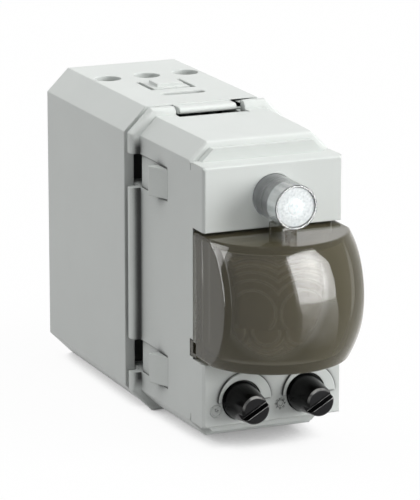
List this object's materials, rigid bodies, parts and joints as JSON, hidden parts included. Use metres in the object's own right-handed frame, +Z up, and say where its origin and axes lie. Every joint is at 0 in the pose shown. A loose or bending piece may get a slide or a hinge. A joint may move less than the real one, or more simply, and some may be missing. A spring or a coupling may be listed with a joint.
{
  "type": "motion sensor light switch",
  "caption": "Flush-mounted motion sensor light switch: chamfered grey housing, smoked detector lens, clear light guide and screwdriver-set knobs for time and light level.",
  "frame": {"origin": "middle of the footprint at the height of the collar's lowest edge", "axes": "+Z up, -Y out of the front where the lens is, +X to the right as seen from the front"},
  "size_m": [0.0242, 0.0686, 0.0448],
  "materials": {
    "housing": "moulded, fine satin",
    "smoked_lens": "polished, smoke tinted",
    "fresnel_sheet": "moulded with fine rings",
    "clear_plastic": "polished",
    "red_lamp": "polished",
    "white_plastic": "moulded",
    "nickel_can": "nickel plated",
    "black_plastic": "moulded",
    "circuit_board": "solder resist",
    "blue_plastic": "moulded",
    "knob": "moulded, semi gloss",
    "orange_plastic": "moulded",
    "yellow_plastic": "moulded",
    "brass": "stamped",
    "zinc_steel": "zinc plated"
  },
  "bodies": {
    "case": {"rear_housing": "housing", "front_cover": "housing", "lens_cover": "smoked_lens", "fresnel_lens": "fresnel_sheet", "light_guide": "clear_plastic", "photocell": "clear_plastic", "status_led": "red_lamp", "pir_holder": "white_plastic", "pir_sensor": "nickel_can", "pir_window": "black_plastic", "sensor_board": "circuit_board", "controller_chip": "black_plastic", "time_trimmer": "blue_plastic", "lux_trimmer": "blue_plastic", "power_board": "circuit_board", "board_header": "black_plastic", "relay": "orange_plastic", "film_capacitor": "yellow_plastic", "electrolytic_capacitor": "black_plastic", "varistor": "blue_plastic", "fuse_resistor": "white_plastic", "rectifier": "black_plastic", "terminal_bars": "brass"},
    "time_dial": {"time_knob": "knob"},
    "lux_dial": {"lux_knob": "knob"},
    "line_clamp_screw": {"line_screw": "zinc_steel"},
    "neutral_clamp_screw": {"neutral_screw": "zinc_steel"},
    "load_clamp_screw": {"load_screw": "zinc_steel"},
    "line_clamp": {"line_cage": "zinc_steel"},
    "neutral_clamp": {"neutral_cage": "zinc_steel"},
    "load_clamp": {"load_cage": "zinc_steel"}
  },
  "joints": [
    {"name": "time_knob_turn", "type": "hinge", "parent": "case", "child": "time_dial", "pos_m": [-0.00487, -0.02183, 0.00735], "axis": [0, 1, 0], "range_deg": [-170, 65]},
    {"name": "lux_knob_turn", "type": "hinge", "parent": "case", "child": "lux_dial", "pos_m": [0.00487, -0.02183, 0.00735], "axis": [0, 1, 0], "range_deg": [-170, 65]},
    {"name": "line_screw_turn", "type": "hinge", "parent": "case", "child": "line_clamp_screw", "pos_m": [-0.0062, 0.02423, 0.03955], "axis": [0, 0, -1], "range_deg": [0, 1081]},
    {"name": "neutral_screw_turn", "type": "hinge", "parent": "case", "child": "neutral_clamp_screw", "pos_m": [0, 0.02423, 0.03955], "axis": [0, 0, -1], "range_deg": [0, 1081]},
    {"name": "load_screw_turn", "type": "hinge", "parent": "case", "child": "load_clamp_screw", "pos_m": [0.0062, 0.02423, 0.03955], "axis": [0, 0, -1], "range_deg": [0, 1081]},
    {"name": "line_cage_lift", "type": "slide", "parent": "case", "child": "line_clamp", "axis": [0, 0, 1], "range_m": [0, 0.0015]},
    {"name": "neutral_cage_lift", "type": "slide", "parent": "case", "child": "neutral_clamp", "axis": [0, 0, 1], "range_m": [0, 0.0015]},
    {"name": "load_cage_lift", "type": "slide", "parent": "case", "child": "load_clamp", "axis": [0, 0, 1], "range_m": [0, 0.0015]}
  ],
  "couplings": [
    {"joint": "line_screw_turn", "follows": "line_cage_lift", "rad_per_m": 12566},
    {"joint": "neutral_screw_turn", "follows": "neutral_cage_lift", "rad_per_m": 12566},
    {"joint": "load_screw_turn", "follows": "load_cage_lift", "rad_per_m": 12566}
  ]
}
